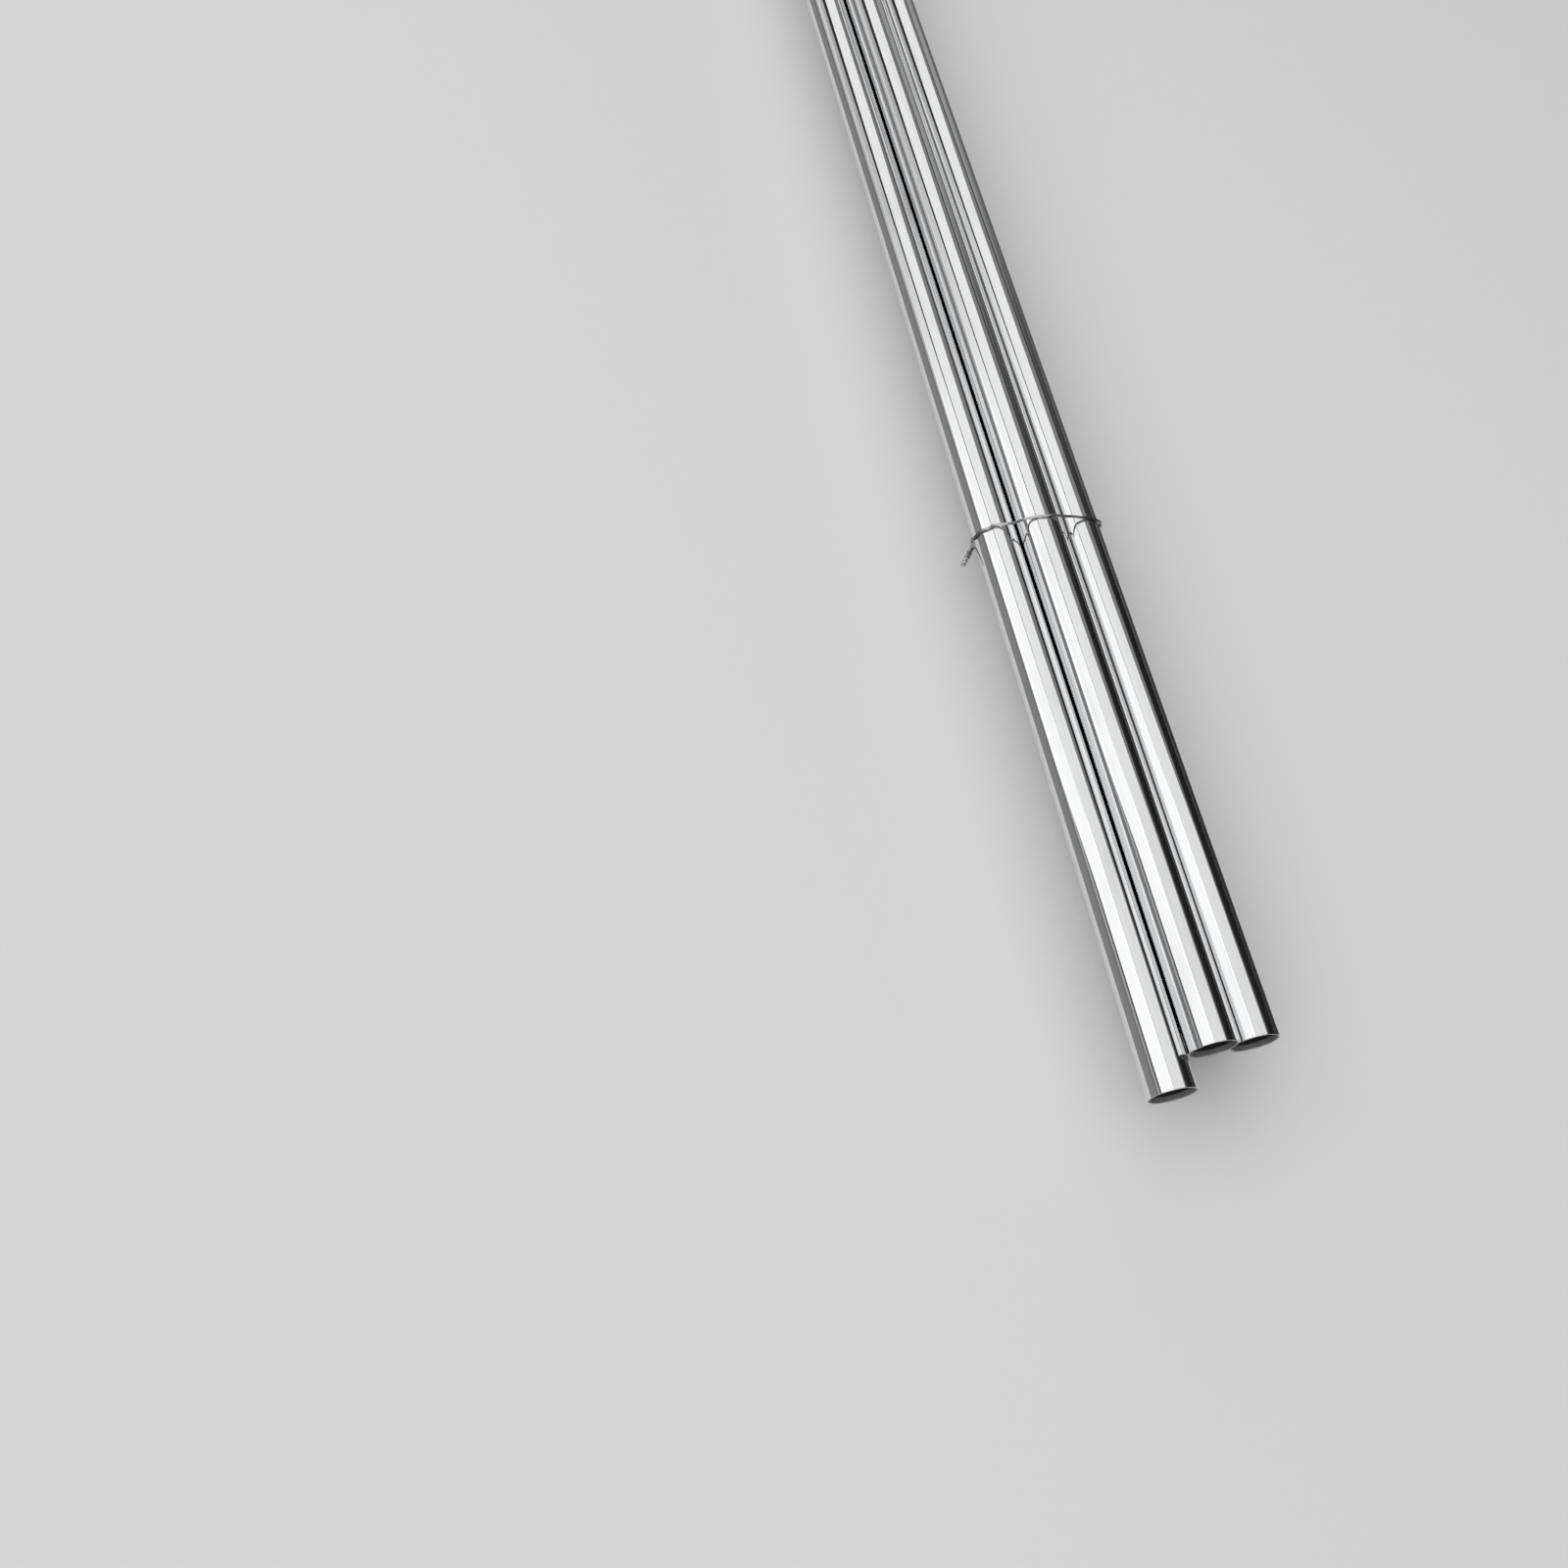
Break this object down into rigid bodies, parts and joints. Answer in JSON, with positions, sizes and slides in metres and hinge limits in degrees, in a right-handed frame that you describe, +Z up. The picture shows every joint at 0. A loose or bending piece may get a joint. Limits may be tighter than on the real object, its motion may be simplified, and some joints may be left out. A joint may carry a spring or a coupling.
{
  "type": "bundle of galvanized conduit",
  "caption": "Wire-tied bundle of straight, plain-ended, thin-walled galvanized steel conduit, an arched upper row nested on a narrower lower one, with staggered ends.",
  "frame": {"origin": "on the floor, under the middle of the bundle", "axes": "+Y along the conduits from their near ends to their far ends, +Z up, +X to the right as seen from the near ends"},
  "size_m": [0.093, 3.694, 0.0594],
  "materials": {
    "galvanized_steel": "bright zinc coating with fine lengthwise streaks",
    "tie_wire": "dull annealed steel wire with a thin zinc coat"
  },
  "bodies": {
    "root": {"conduit_left_bottom": "galvanized_steel", "conduit_left_top": "galvanized_steel", "conduit_centre_top": "galvanized_steel", "conduit_right_top": "galvanized_steel", "conduit_right_bottom": "galvanized_steel", "tie_wire_near": "tie_wire", "tie_wire_middle": "tie_wire", "tie_wire_far": "tie_wire"}
  },
  "joints": []
}
